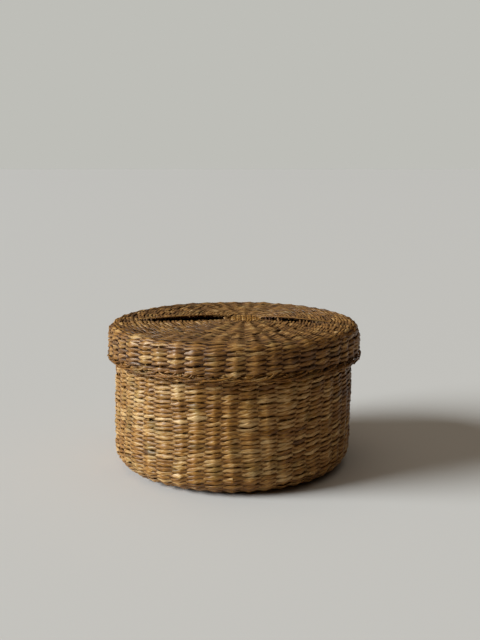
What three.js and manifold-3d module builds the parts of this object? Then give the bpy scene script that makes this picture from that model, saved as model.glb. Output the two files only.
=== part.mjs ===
// A small round twined basket with a pull-off lid.
// Millimetres, +Z up, origin at the middle of the face that the basket stands on, front towards -Y.
// Two of every piece of basketwork: the basket has 22 long stakes, laid crosswise at the middle of
// the base, fanned out and turned up inside the wall, and the lid has 22 more, turned down inside
// its skirt. The weave is a closed shell that leaves a snug tunnel for every stake.

import * as THREE from 'three';
import { mergeVertices } from 'three/addons/utils/BufferGeometryUtils.js';
import Module from 'manifold-3d';

const wasm = await Module();
wasm.setup();

// Basket
const footRadius = 72.2;
const wallTaper = 1.3;
const basketHeight = 81.9;
const basketWall = 4.2;
const baseThickness = 4.0;
const footRounding = 11.6;
const rimBorderHeight = 4.6;

// Lid
const lidHeight = 21.6;
const lidFit = 0.7;
const skirtWall = 3.4;
const lidTopThickness = 4.4;
const lidShoulder = 5.0;
const edgeBorderHeight = 4.2;

// How far the edges of both borders are worn back
const borderChamfer = 1.2;

// The crown of the lid, where its stakes cross, lies off the middle of the lid
const crownX = 7.0;
const crownY = 9.2;

// Stakes: flat strands that cross at the middle in two layers
const strandsPerBundle = 11;
const stakeWidth = 1.3;
const stakeThickness = 0.9;
const stakeClearance = 0.3;

// A stake's bend is made of this many straight pieces
const bendSteps = 2;

// Height of one course of weave, how many courses one ridge of the surface takes in, and how far
// the ridges stand proud of the grooves between them
const wallCourse = 2.54;
const skirtCourse = 2.8;
const topCourse = 2.25;
const coursesPerRidge = 2;
const wallCoursesPerRidge = 3;
const wallRelief = 1.1;
const topRelief = 0.9;

// The lid's stakes are woven in pairs out to this share of the way from crown to shoulder
const pairedShare = 0.65;

// The splits beside the crown follow the gap between two stakes
const leftSplitGap = 33.5;
const leftSplitWidth = 3.2;
const leftSplitStart = 0.26;
const leftSplitEnd = 0.74;
const rightSplitGap = 9.5;
const rightSplitWidth = 2.2;
const rightSplitStart = 0.3;
const rightSplitEnd = 0.7;

// Gap left between two pieces that touch
const touchGap = 0.3;

// Colours of dry straw
const strawTan = 0xb98a4e;
const strawHoney = 0xc79a5b;
const strawBrown = 0x8f6a3a;

const rimRadius = footRadius - wallTaper;
const stakeEnds = 4 * strandsPerBundle;
const stakeStep = 2 * Math.PI / stakeEnds;
const strandPitch = stakeWidth + stakeClearance;
const layerOffset = (stakeThickness + stakeClearance) / 2;

const skirtInnerRadius = rimRadius + lidFit;
const lidRadius = skirtInnerRadius + skirtWall;
const lidUnderside = basketHeight + touchGap;
const lidTopHeight = lidUnderside + lidTopThickness;
const lidEdgeHeight = lidTopHeight - lidHeight;
const wallBottom = footRounding + touchGap;
const wallTop = basketHeight - rimBorderHeight - touchGap;
const skirtBottom = lidEdgeHeight + edgeBorderHeight + touchGap;
const footFlatRadius = footRadius - footRounding;
const shoulderFlatRadius = lidRadius - lidShoulder;

// Angle of a stake's end, counted from the front, or of the gap after it when given a half
function stakeAngle(index) {
  return -Math.PI / 2 + index * stakeStep;
}

// A ring of points, one for each stake: on the stakes when shift is 0, in the gaps at 0.5
function ring(radius, height, shift = 0, count = stakeEnds, centreX = 0, centreY = 0) {
  const points = [];
  for (let i = 0; i < count; i += 1) {
    const angle = stakeAngle((i + shift) * stakeEnds / count);
    points.push(new THREE.Vector3(
      centreX + radius * Math.cos(angle), centreY + radius * Math.sin(angle), height));
  }
  return { points, shift };
}

// Triangles between two rings, the second one lying outward of the first or above it.
// The second ring may have twice as many points as the first, or the same number.
function joinRings(triangles, lower, upper) {
  const a = lower.points;
  const b = upper.points;
  const count = a.length;
  for (let i = 0; i < count; i += 1) {
    const next = (i + 1) % count;
    if (b.length === 2 * count) {
      const first = upper.shift > 0 ? (2 * i + b.length - 1) % b.length : 2 * i;
      const middle = (first + 1) % b.length;
      const last = (first + 2) % b.length;
      triangles.push([a[i], b[middle], b[first]]);
      triangles.push([a[i], a[next], b[middle]]);
      triangles.push([a[next], b[last], b[middle]]);
    } else if (lower.shift > upper.shift) {
      triangles.push([a[i], b[next], b[i]]);
      triangles.push([a[i], a[next], b[next]]);
    } else {
      triangles.push([a[i], a[next], b[i]]);
      triangles.push([a[next], b[next], b[i]]);
    }
  }
}

function geometryFrom(triangles) {
  const positions = [];
  for (const triangle of triangles) {
    for (const point of triangle) {
      positions.push(point.x, point.y, point.z);
    }
  }
  const geometry = new THREE.BufferGeometry();
  geometry.setAttribute('position', new THREE.Float32BufferAttribute(positions, 3));
  return mergeVertices(geometry, 1e-5);
}

// A shell that goes round the basket: its rings follow each other round the section and close up
function hoop(rings) {
  const triangles = [];
  rings.forEach((current, i) => joinRings(triangles, current, rings[(i + 1) % rings.length]));
  return geometryFrom(triangles);
}

// A disc: its rings run from the middle of the underside round the edge to the middle of the top
function disc(underside, top, bottomCentre, topCentre) {
  const triangles = [];
  const outward = underside.concat(top);
  for (let i = 0; i + 1 < outward.length; i += 1) {
    if (outward[i].points.length > outward[i + 1].points.length) {
      const flipped = [];
      joinRings(flipped, outward[i + 1], outward[i]);
      flipped.forEach(([p, q, r]) => triangles.push([p, r, q]));
    } else {
      joinRings(triangles, outward[i], outward[i + 1]);
    }
  }
  const first = outward[0].points;
  const last = outward[outward.length - 1].points;
  first.forEach((point, i) => triangles.push([bottomCentre, first[(i + 1) % first.length], point]));
  last.forEach((point, i) => triangles.push([topCentre, point, last[(i + 1) % last.length]]));
  return geometryFrom(triangles);
}

function toSolid(geometry) {
  const position = geometry.getAttribute('position');
  return new wasm.Manifold(new wasm.Mesh({
    numProp: 3,
    vertProperties: new Float32Array(position.array),
    triVerts: new Uint32Array(geometry.getIndex().array),
  }));
}

function toGeometry(solid) {
  const mesh = solid.getMesh();
  const geometry = new THREE.BufferGeometry();
  geometry.setAttribute('position', new THREE.BufferAttribute(mesh.vertProperties, 3));
  geometry.setIndex(new THREE.BufferAttribute(mesh.triVerts, 1));
  return geometry;
}

// A flat strand swept along a route. Each stop of the route has a place, and the level direction
// that the strand heads in, seen from above.
function flatStrand(route, width, thickness) {
  const sections = route.map((stop, i) => {
    const before = route[Math.max(i - 1, 0)].place;
    const after = route[Math.min(i + 1, route.length - 1)].place;
    const back = new THREE.Vector3().subVectors(stop.place, before).normalize();
    const forward = new THREE.Vector3().subVectors(after, stop.place).normalize();
    const along = new THREE.Vector3().addVectors(back, forward).normalize();
    const across = new THREE.Vector3(-Math.sin(stop.heading), Math.cos(stop.heading), 0);
    const up = new THREE.Vector3().crossVectors(along, across).normalize();
    const mitre = 1 / Math.max(along.dot(i === 0 ? forward : back), 0.5);
    const half = across.multiplyScalar(width / 2);
    const rise = up.multiplyScalar(thickness / 2 * mitre);
    return [[1, 1], [1, -1], [-1, -1], [-1, 1]].map(([side, level]) => stop.place.clone()
      .addScaledVector(half, side).addScaledVector(rise, level));
  });
  const triangles = [];
  const quad = (a, b, c, d) => triangles.push([a, b, c], [a, c, d]);
  for (let i = 0; i + 1 < sections.length; i += 1) {
    for (let side = 0; side < 4; side += 1) {
      const next = (side + 1) % 4;
      quad(sections[i][side], sections[i + 1][side], sections[i + 1][next], sections[i][next]);
    }
  }
  const start = sections[0];
  const end = sections[sections.length - 1];
  quad(start[0], start[1], start[2], start[3]);
  quad(end[3], end[2], end[1], end[0]);
  return geometryFrom(triangles);
}

// Half of a stake's route, from the middle of the crossing out to its end.
// form gives the level of the crossing, where the crossing is, and the turn and the end of the stake.
function halfRoute(form, bundleHeading, offset, endIndex, layer) {
  const angle = stakeAngle(endIndex);
  const outward = new THREE.Vector2(Math.cos(angle), Math.sin(angle));
  const turn = Math.abs(offset) > 0
    ? Math.abs(strandPitch * offset / Math.sin(offset * stakeStep))
    : strandPitch / stakeStep;
  const level = form.level + layer * layerOffset;
  const crossing = new THREE.Vector3(
    form.crossingX + turn * Math.cos(angle), form.crossingY + turn * Math.sin(angle), level);
  const stops = [{ place: crossing, heading: (bundleHeading + angle) / 2 }];
  for (const [radius, height] of form.outline) {
    stops.push({ place: new THREE.Vector3(
      outward.x * radius, outward.y * radius, height), heading: angle });
  }
  return stops;
}

// The whole route of one stake, from one end across the crossing to the other end
function stakeRoute(form, bundle, offset) {
  const quarter = stakeEnds / 4;
  const nearEnd = bundle * quarter + offset;
  const farEnd = (bundle + 2) * quarter - offset;
  const layer = bundle === 1 ? 1 : -1;
  const near = halfRoute(form, stakeAngle(bundle * quarter), offset, nearEnd, layer);
  const far = halfRoute(form, stakeAngle((bundle + 2) * quarter), -offset, farEnd, layer);
  const inward = near.reverse().map((stop) => ({ ...stop, heading: stop.heading + Math.PI }));
  return inward.concat(far);
}

// Every stake of the basket or the lid: the bundle that runs across, then the one from front to back
function allRoutes(form) {
  const routes = [];
  const reach = (strandsPerBundle - 1) / 2;
  for (const bundle of [1, 0]) {
    for (let offset = -reach; offset <= reach; offset += 1) {
      routes.push(stakeRoute(form, bundle, offset));
    }
  }
  return routes;
}

// Points on a quarter of an ellipse, from its lowest point outward and up (turn 1), or from its
// outermost point up and inward (turn -1)
function quarterRound(centreRadius, centreHeight, reach, rise, steps, turn) {
  const points = [];
  for (let i = 0; i <= steps; i += 1) {
    const angle = turn * i / steps * Math.PI / 2;
    points.push(turn > 0
      ? [centreRadius + reach * Math.sin(angle), centreHeight - rise * Math.cos(angle)]
      : [centreRadius + reach * Math.cos(angle), centreHeight - rise * Math.sin(angle)]);
  }
  return points;
}

// Outer radius of the basket, narrowing a little from foot to rim
function basketRadiusAt(height) {
  const share = (height - footRounding) / (basketHeight - footRounding);
  return footRadius - wallTaper * share;
}

const wallStakeDepth = (wallRelief + basketWall) / 2;
const skirtStakeDepth = (wallRelief + skirtWall) / 2;
const crossingLevel = lidUnderside + (lidTopThickness - topRelief) / 2;

const basketForm = {
  crossingX: 0,
  crossingY: 0,
  level: baseThickness / 2,
  outline: [
    ...quarterRound(footFlatRadius, footRounding, footRounding - wallStakeDepth,
      footRounding - baseThickness / 2, bendSteps, 1),
    [basketRadiusAt(wallTop) - wallStakeDepth, wallTop],
  ],
};

const shoulderOutline = quarterRound(shoulderFlatRadius, lidTopHeight - lidShoulder,
  lidShoulder - skirtStakeDepth, lidShoulder - (lidTopHeight - crossingLevel), bendSteps, -1);
const lidForm = {
  crossingX: crownX,
  crossingY: crownY,
  level: crossingLevel,
  outline: [...shoulderOutline.reverse(), [lidRadius - skirtStakeDepth, skirtBottom]],
};

// The route again, run on past both ends, so that a tunnel comes out into the open
function openEnded(route) {
  const stops = route.map((stop) => ({ place: stop.place.clone(), heading: stop.heading }));
  const runOn = (end, inner) => {
    const direction = new THREE.Vector3().subVectors(end.place, inner.place).normalize();
    end.place.addScaledVector(direction, 1);
  };
  runOn(stops[0], stops[1]);
  runOn(stops[stops.length - 1], stops[stops.length - 2]);
  return stops;
}

const basketRoutes = allRoutes(basketForm);
const lidRoutes = allRoutes(lidForm);

// The room that the stakes take up in the weave: a round chamber at the crossing, and a tunnel
// for each end of each stake, from inside the chamber out
function stakeRoom(form, routes) {
  const width = stakeWidth + 2 * stakeClearance;
  const thickness = stakeThickness + 2 * stakeClearance;
  const chamberRadius = (width + stakeClearance) / stakeStep;
  const chamberHeight = 2 * layerOffset + thickness;
  const chamber = new THREE.CylinderGeometry(chamberRadius, chamberRadius, chamberHeight, stakeEnds);
  chamber.rotateX(Math.PI / 2);
  chamber.rotateZ(stakeStep / 2);
  chamber.translate(form.crossingX, form.crossingY, form.level);
  chamber.deleteAttribute('normal');
  chamber.deleteAttribute('uv');
  const rooms = [toSolid(mergeVertices(chamber, 1e-5))];
  for (const route of routes) {
    const stops = openEnded(route);
    const half = stops.length / 2;
    for (const branch of [stops.slice(0, half).reverse(), stops.slice(half)]) {
      const { heading } = branch[branch.length - 1];
      const level = branch.map((stop) => ({ place: stop.place, heading }));
      rooms.push(toSolid(flatStrand(level, width, thickness)));
    }
  }
  return wasm.Manifold.union(rooms);
}

const basketTunnels = stakeRoom(basketForm, basketRoutes);
const lidTunnels = stakeRoom(lidForm, lidRoutes);

// Rings up an outer surface: a ridge with its crests on the stakes, then a groove between two ridges.
// pathAt gives radius, height and the outward direction for a distance along the surface.
function ridgesAlong(pathAt, length, pitch, relief) {
  const rings = [];
  const ridges = Math.round(length / pitch);
  for (let i = 0; i < ridges; i += 1) {
    const ridge = pathAt((i + 0.5) * length / ridges);
    rings.push(ring(ridge.radius, ridge.height, 0));
    if (i + 1 < ridges) {
      const groove = pathAt((i + 1) * length / ridges);
      rings.push(ring(groove.radius - relief * groove.outR, groove.height - relief * groove.outZ, 0.5));
    }
  }
  return rings;
}

// The basket's outer surface round the foot, from the edge of the flat underside up to the wall
function footPath(distance) {
  const angle = distance / footRounding;
  return {
    radius: footFlatRadius + footRounding * Math.sin(angle),
    height: footRounding * (1 - Math.cos(angle)),
    outR: Math.sin(angle),
    outZ: -Math.cos(angle),
  };
}

// The basket's outer surface up the wall, from the top of the foot
function wallPath(distance) {
  const height = wallBottom + distance;
  return { radius: basketRadiusAt(height), height, outR: 1, outZ: 0 };
}

// The lid's outer surface, from the top of its border up the skirt and over the shoulder
function skirtPath(distance) {
  const straight = lidTopHeight - lidShoulder - skirtBottom;
  if (distance < straight) {
    return { radius: lidRadius, height: skirtBottom + distance, outR: 1, outZ: 0 };
  }
  const angle = Math.min((distance - straight) / lidShoulder, Math.PI / 2);
  return {
    radius: shoulderFlatRadius + lidShoulder * Math.cos(angle),
    height: lidTopHeight - lidShoulder * (1 - Math.sin(angle)),
    outR: Math.cos(angle),
    outZ: Math.sin(angle),
  };
}

function ringsThrough(points, shift) {
  return points.map(([radius, height]) => ring(radius, height, shift));
}

function basketFootWeave() {
  const seam = footFlatRadius + touchGap / 2;
  const inside = quarterRound(footFlatRadius, footRounding, footRounding - basketWall,
    footRounding - baseThickness, 3, 1).reverse();
  inside[inside.length - 1][0] = seam;
  const shell = hoop([
    ring(seam, 0, 0.5),
    ...ridgesAlong(footPath, footRounding * Math.PI / 2, wallCourse * coursesPerRidge, wallRelief),
    ring(footRadius - wallRelief, footRounding, 0.5),
    ...ringsThrough(inside, 0.5),
  ]);
  return toGeometry(toSolid(shell).subtract(basketTunnels));
}

function basketWallWeave() {
  const shell = hoop([
    ring(footRadius - wallRelief, wallBottom, 0.5),
    ...ridgesAlong(wallPath, lidEdgeHeight - wallBottom, wallCourse * wallCoursesPerRidge, wallRelief),
    ring(basketRadiusAt(wallTop) - wallRelief / 2, wallTop, 0.5),
    ring(basketRadiusAt(wallTop) - basketWall, wallTop, 0.5),
    ring(footRadius - basketWall, wallBottom, 0.5),
  ]);
  return toGeometry(toSolid(shell).subtract(basketTunnels));
}

function basketBaseWeave() {
  const edge = footFlatRadius - touchGap / 2;
  const plate = disc(
    [ring(edge, 0, 0.5)],
    [ring(edge, baseThickness, 0.5)],
    new THREE.Vector3(0, 0, 0), new THREE.Vector3(0, 0, baseThickness));
  return toGeometry(toSolid(plate).subtract(basketTunnels));
}

// A border: the stake ends laid over each other, each passing behind the next
function border(outerRadius, innerRadius, bottom, top, chamfer) {
  return hoop([
    ring(innerRadius, bottom, 0),
    ring(outerRadius - chamfer, bottom, 0),
    ring(outerRadius, (bottom + top) / 2, 0.5),
    ring(outerRadius - chamfer, top, 0),
    ring(innerRadius, top, 0),
  ]);
}

function basketRimBorder() {
  return border(rimRadius, rimRadius - basketWall - wallRelief, wallTop + touchGap, basketHeight,
    borderChamfer);
}

function lidEdgeBorder() {
  return border(lidRadius, skirtInnerRadius, lidEdgeHeight, skirtBottom - touchGap, borderChamfer);
}

function lidSkirtWeave() {
  const straight = lidTopHeight - lidShoulder - skirtBottom;
  const length = straight + lidShoulder * Math.PI / 2;
  const seam = shoulderFlatRadius + touchGap / 2;
  const inside = quarterRound(shoulderFlatRadius, lidTopHeight - lidShoulder, lidShoulder - skirtWall,
    lidShoulder - lidTopThickness, 2, -1).reverse();
  inside[0][0] = seam;
  const shell = hoop([
    ring(lidRadius - wallRelief, skirtBottom, 0.5),
    ...ridgesAlong(skirtPath, length, skirtCourse * coursesPerRidge, wallRelief),
    ring(seam, lidTopHeight - topRelief, 0.5),
    ...ringsThrough(inside, 0.5),
    ring(skirtInnerRadius, skirtBottom, 0.5),
  ]);
  return toGeometry(toSolid(shell).subtract(lidTunnels));
}

// A ring of the lid's top, a share of the way from the crown to the shoulder
function topRing(share, height, shift, count) {
  const radius = share * (shoulderFlatRadius - touchGap / 2);
  return ring(radius, height, shift, count, crownX * (1 - share), crownY * (1 - share));
}

// One split: a long pointed slot that follows the gap between two stakes
function splitCutter(gap, start, end, width) {
  const angle = stakeAngle(gap);
  const shoulder = new THREE.Vector2(Math.cos(angle), Math.sin(angle)).multiplyScalar(shoulderFlatRadius);
  const crown = new THREE.Vector2(crownX, crownY);
  const from = new THREE.Vector2().lerpVectors(crown, shoulder, start);
  const to = new THREE.Vector2().lerpVectors(crown, shoulder, end);
  const middle = new THREE.Vector2().addVectors(from, to).multiplyScalar(0.5);
  const along = new THREE.Vector2().subVectors(to, from).normalize();
  const bulge = new THREE.Vector2(-along.y, along.x).multiplyScalar(width);
  const shape = new THREE.Shape();
  shape.moveTo(from.x, from.y);
  shape.quadraticCurveTo(middle.x - bulge.x, middle.y - bulge.y, to.x, to.y);
  shape.quadraticCurveTo(middle.x + bulge.x, middle.y + bulge.y, from.x, from.y);
  const blade = new THREE.ExtrudeGeometry(shape, {
    depth: lidTopThickness * 2, bevelEnabled: false, curveSegments: 6 });
  blade.translate(0, 0, lidUnderside - lidTopThickness / 2);
  blade.deleteAttribute('normal');
  blade.deleteAttribute('uv');
  return toSolid(mergeVertices(blade, 1e-5));
}

function lidTopWeave() {
  const ridges = Math.round(shoulderFlatRadius / topCourse / coursesPerRidge);
  const stakesAt = (share) => (share < pairedShare ? stakeEnds / 2 : stakeEnds);
  const top = [topRing(1, lidTopHeight - topRelief, 0.5, stakeEnds)];
  for (let i = ridges - 1; i > 0; i -= 1) {
    const crest = (i + 0.5) / ridges;
    const groove = i / ridges;
    top.push(topRing(crest, lidTopHeight, 0, stakesAt(crest)));
    top.push(topRing(groove, lidTopHeight - topRelief, 0.5, stakesAt(groove)));
  }
  const plate = disc(
    [topRing(1, lidUnderside, 0.5, stakeEnds)],
    top,
    new THREE.Vector3(crownX, crownY, lidUnderside), new THREE.Vector3(crownX, crownY, lidTopHeight));
  const splits = wasm.Manifold.union([
    splitCutter(leftSplitGap, leftSplitStart, leftSplitEnd, leftSplitWidth),
    splitCutter(rightSplitGap, rightSplitStart, rightSplitEnd, rightSplitWidth),
  ]);
  return toGeometry(toSolid(plate).subtract(lidTunnels).subtract(splits));
}

const part = new THREE.Group();

function addPiece(name, geometry, color) {
  const material = new THREE.MeshStandardMaterial({ color, roughness: 0.75, metalness: 0 });
  const mesh = new THREE.Mesh(geometry, material);
  mesh.name = name;
  part.add(mesh);
}

function addStakes(prefix, routes) {
  routes.forEach((route, i) => {
    const number = String(i + 1).padStart(2, '0');
    addPiece(`${prefix}_stake_${number}`, flatStrand(route, stakeWidth, stakeThickness), strawBrown);
  });
}

addPiece('basket_base_weave', basketBaseWeave(), strawTan);
addPiece('basket_foot_weave', basketFootWeave(), strawTan);
addPiece('basket_wall_weave', basketWallWeave(), strawTan);
addPiece('basket_rim_border', basketRimBorder(), strawHoney);
addStakes('basket', basketRoutes);
addPiece('lid_top_weave', lidTopWeave(), strawTan);
addPiece('lid_skirt_weave', lidSkirtWeave(), strawTan);
addPiece('lid_edge_border', lidEdgeBorder(), strawHoney);
addStakes('lid', lidRoutes);

export default part;
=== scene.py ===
"""A small round straw basket with a pull-off lid.

Twenty-two flat stakes cross at the middle of the base and are turned up inside the wall, and
twenty-two more cross at the crown of the lid and are turned down inside its skirt. Pairs of
strands are twined round them in one long spiral: at every stake one strand of the pair lies in
front and the other behind, and between two stakes they trade places.
"""
import math

import bpy
import numpy as np
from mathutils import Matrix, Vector


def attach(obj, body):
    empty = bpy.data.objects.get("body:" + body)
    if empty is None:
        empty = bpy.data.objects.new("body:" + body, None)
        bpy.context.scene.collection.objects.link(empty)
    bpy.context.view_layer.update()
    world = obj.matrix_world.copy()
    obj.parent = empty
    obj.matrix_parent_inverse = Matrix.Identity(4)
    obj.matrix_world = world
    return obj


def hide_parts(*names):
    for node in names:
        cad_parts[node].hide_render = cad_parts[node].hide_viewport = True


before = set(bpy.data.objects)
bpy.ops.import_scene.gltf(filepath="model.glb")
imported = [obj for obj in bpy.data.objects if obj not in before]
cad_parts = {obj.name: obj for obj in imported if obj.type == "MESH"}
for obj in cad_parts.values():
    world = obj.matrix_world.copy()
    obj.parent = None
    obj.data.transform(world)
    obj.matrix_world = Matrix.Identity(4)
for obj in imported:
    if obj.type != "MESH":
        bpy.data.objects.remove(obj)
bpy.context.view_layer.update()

bl_info = {
    "name": "Twined Basket with Lid",
    "version": (1, 0, 0),
    "blender": (4, 5, 0),
    "location": "3D View > Sidebar > Basket",
    "description": "Twines a round straw basket and its lid, strand by strand",
    "category": "Add Mesh",
}

MM = 0.001
STAKES_EACH_WAY = 11
STAKE_ENDS = 4 * STAKES_EACH_WAY
STEP = 2 * math.pi / STAKE_ENDS
FRONT = -math.pi / 2
VECTOR = "FLOAT_VECTOR"

# Points on a strand from one stake to the next, in the weave and in a border, and round its section
SAMPLES = 8
BORDER_SAMPLES = 6
SIDES = 8

# Slow waves round the basket: size, waves in a full turn, height over which they shift, and start.
# The stakes drift sideways by a share of their step. Bulges and sagging courses are in millimetres.
DRIFT = ((0.12, 3, 19 * MM, 0), (0.1, 8, -13 * MM, 1.3), (0.06, 19, 40 * MM, 2.1))
BULGES = ((0.3, 3, 30 * MM, 0), (0.2, 7, -11 * MM, 2))
SAGS = ((0.35, 4, 14 * MM, 0),)

# The splits left and right of the crown: the gap between stakes that each follows, where it starts
# and ends on the way from crown to shoulder, and how wide it gapes
SPLITS = ((33.5, 0.17, 0.76, 2.3 * MM), (9.5, 0.13, 0.77, 1.8 * MM))

# How much stitches vary from one to the next, and how much the height does that a pair shares
WIDTH_SPREAD = 0.17
HEIGHT_SPREAD = 0.06
SLOPE_SPREAD = 0.24
DEPTH_SPREAD = 0.13
ROLL_SPREAD = 0.2
PAIR_SPREAD = 0.09
NARROWEST, WIDEST = 0.75, 1.5

# Stakes that lie this far apart let a strand swing in full, and it never swings by a smaller share
FULL_GAP = 10 * MM
LEAST_SWING = 0.3

# A single stitch that stands out: how near it has to be, and how far out and up it lies
MARK_REACH, MARK_DEPTH, MARK_HEIGHT = 5.5 * MM, 0.6, 0.1

# How far from a broken edge strands come loose, how far from it they get thin, and by what share
LOOSE_NEAR, THIN_NEAR, THINNED = 3.2 * MM, 1.6 * MM, 0.5

# About the way from one point of a strand to the next, so that its fibres go on past a split
POINT_STEP = 1.2 * MM

# A distance larger than the basket
FAR = 1.0

# Stitches of the borders at the rim and at the lid's edge
RIM_STITCH = {"Width": 1.9 * MM, "Thickness": 1.25 * MM, "Rise": 0.35 * MM, "Waist": 0.8}
EDGE_STITCH = {"Width": 1.25 * MM, "Thickness": 0.95 * MM, "Rise": 0.28 * MM, "Waist": 0.6}

# The kinds of straw: shift of the tones, how strong the painted shade between the strands is, gloss, and how
# far it has faded
FINISHES = {
    "straw_woven": (0.02, 0.62, 0.34, 0.0),
    "straw_top": (-0.21, 1.0, 0.34, 0.12),
    "straw_lid": (-0.13, 1.0, 0.34, 0.05),
    "straw_border": (-0.02, 0.95, 0.25, 0.0),
    "straw_stake": (-0.1, 1.0, 0.34, 0.0),
}

# Grain of the straw: how often its fibres change along a strand and across it, their detail, and
# how far they shift with the tone. Then how fine the patches and the tints are.
COARSE_FIBRES = (240.0, 2.4, 2.0)
FINE_FIBRES = (460.0, 7.0, 3.0)
FIBRE_SHIFT = 61.0
PATCH_SCALE, TINT_SCALE = 38.0, 95.0

WINDOW_AT = (-0.88, -0.21, 0.415)
CAMERA_AT = (0, -0.5094, 0.1777)
CAMERA_TILT = 0.1777
CAMERA_TURN = -0.007
CAMERA_LENS = 48
CAMERA_SENSOR = 36
FLOOR_HALF = 60.0


def length(name, description, millimetres):
    """A property that holds a length, in metres."""
    return bpy.props.FloatProperty(name=name, description=description, default=millimetres * MM,
                                   unit="LENGTH", subtype="DISTANCE", precision=5)


def share(name, description, default):
    """A property that holds a share of something."""
    return bpy.props.FloatProperty(name=name, description=description, default=default, subtype="FACTOR")


def number(name, description, default):
    """A property that holds a plain number."""
    return bpy.props.FloatProperty(name=name, description=description, default=default)


def count(name, description, default):
    """A property that holds a whole number."""
    return bpy.props.IntProperty(name=name, description=description, default=default, min=1)


def colour(name, description, default):
    """A property that holds a colour."""
    return bpy.props.FloatVectorProperty(
        name=name, description=description, default=default, subtype="COLOR", size=3, min=0, max=1)


class BASKET_PG_body(bpy.types.PropertyGroup):
    """Colours of the dry straw, and of the shade painted between its strands."""

    foot_radius: length("Foot radius", "Outer radius at the foot of the wall", 72.2)
    taper: length("Taper", "How much narrower the basket is at the rim than at the foot", 0.9)
    bulge: length("Bulge", "How far the wall bulges between foot and lid", 0.4)
    lean: length("Lean", "How far the foot lies to the left of the lid's middle", 1.3)
    height: length("Height", "Height of the basket without its lid", 81.9)
    foot_rounding: length("Foot rounding", "Radius of the turn from base to wall", 11.6)
    weave_depth: length("Weave depth", "From the outer surface to the middle of the weave", 1.7)
    base_middle: length("Base middle", "Height of the middle of the base's weave", 2.0)
    start_radius: length("Start radius", "Radius at which the twining of the base starts", 10.2)
    paired_radius: length("Paired radius", "Radius out to which the stakes are twined in pairs", 39)
    base_courses: count("Base courses", "Courses of twining in the flat of the base", 22)
    foot_courses: count("Foot courses", "Courses in the turn from base to wall", 6)
    wall_courses: count("Wall courses", "Courses up the wall to the rim", 26)
    rim_height: length("Rim height", "Height of the border round the rim", 4.6)


class BASKET_PG_lid(bpy.types.PropertyGroup):
    """Sizes of the lid."""

    radius: length("Radius", "Outer radius of the lid", 75.0)
    flat_radius: length("Flat radius", "Radius of the lid's flat top", 70.0)
    weave_depth: length("Weave depth", "From the outer surface to the middle of the weave", 0.95)
    top_middle: length("Top middle", "Height of the middle of the top's weave", 85.5)
    shoulder_height: length("Shoulder height", "Height at which the shoulder meets the skirt", 81.6)
    skirt_bottom: length("Skirt bottom", "Height of the skirt's lowest course", 69.6)
    crown_x: length("Crown across", "How far right of the middle the stakes cross", 7.0)
    crown_y: length("Crown back", "How far behind the middle the stakes cross", 9.2)
    start_share: share("Start", "Where the twining starts, on the way from crown to shoulder", 0.15)
    paired_share: share("Paired", "Where the twining takes single stakes, on the way to the shoulder", 0.65)
    top_courses: count("Top courses", "Courses of twining in the flat top", 28)
    shoulder_courses: count("Shoulder courses", "Courses in the turn from top to skirt", 3)
    skirt_courses: number("Skirt courses", "Courses down the skirt to the edge", 4.5)
    sag_left: length("Sag left", "How far the top has sunk in front of the left split", 0.5)
    sag_right: length("Sag right", "How far the top has sunk in front of the right split", 0.2)
    lip_left: length("Lip left", "How far the edge behind the left split stands up", 1.9)
    lip_right: length("Lip right", "How far the edge behind the right split stands up", 1.3)


class BASKET_PG_strands(bpy.types.PropertyGroup):
    """Sizes of the straw strands."""

    width: share("Width", "Width of a stitch, as a share of the height of its course", 1.14)
    thickness: length("Thickness", "Thickness of a stitch at its fullest", 1.0)
    base_swing: length("Base swing", "How far a strand swings in and out in the base", 1.15)
    wall_swing: length("Wall swing", "The same in the wall", 0.94)
    lid_swing: length("Lid swing", "The same in the lid", 1.35)
    ridge: share("Ridge", "How far a strand bends over a stake with straight sides, not in a wave", 0.9)
    crossing_lift: length("Crossing lift", "How far out the strands trade places", 0.2)
    rise: length("Rise", "How far a strand swings up and down as the pair twists", 0.5)
    waist: share("Waist", "Width between two stakes, as a share of the full width", 0.82)
    long_waist: share("Waist of long stitches", "The same where the stakes lie wide apart", 0.86)
    point: number("Point", "Power of the taper: the higher it is, the more pointed a stitch", 4.0)
    crease: share("Crease", "Depth of the crease along a strand, as a share of its thickness", 0.42)
    stake_width: length("Stake width", "Width of a stake", 1.5)
    stake_thickness: length("Stake thickness", "Thickness of a stake", 0.9)
    stake_spacing: length("Stake spacing", "From one stake to the next where they cross", 1.6)


class BASKET_PG_straw(bpy.types.PropertyGroup):
    """Colours of the dry straw."""

    pale: colour("Pale", "The lightest strands", (0.74, 0.45, 0.178))
    honey: colour("Honey", "Most strands", (0.42, 0.184, 0.031))
    brown: colour("Brown", "The darker strands", (0.262, 0.1, 0.0135))
    dark: colour("Dark", "The darkest strands", (0.112, 0.039, 0.005))
    russet: colour("Russet", "Reddish patches", (0.38, 0.142, 0.026))
    moss: colour("Moss", "Greenish grey patches", (0.30, 0.21, 0.06))
    dust: colour("Dust", "What faded straw greys towards", (0.28, 0.19, 0.11))
    streak: colour("Streak", "Tint of the dark fibres", (0.36, 0.32, 0.27))
    # Painted shade: the colour that a strand is darkened towards where it lies in shadow between its
    # neighbours
    painted_shade: colour("Recess", "Tint of what lies in a gap", (0.18, 0.085, 0.03))


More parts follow.
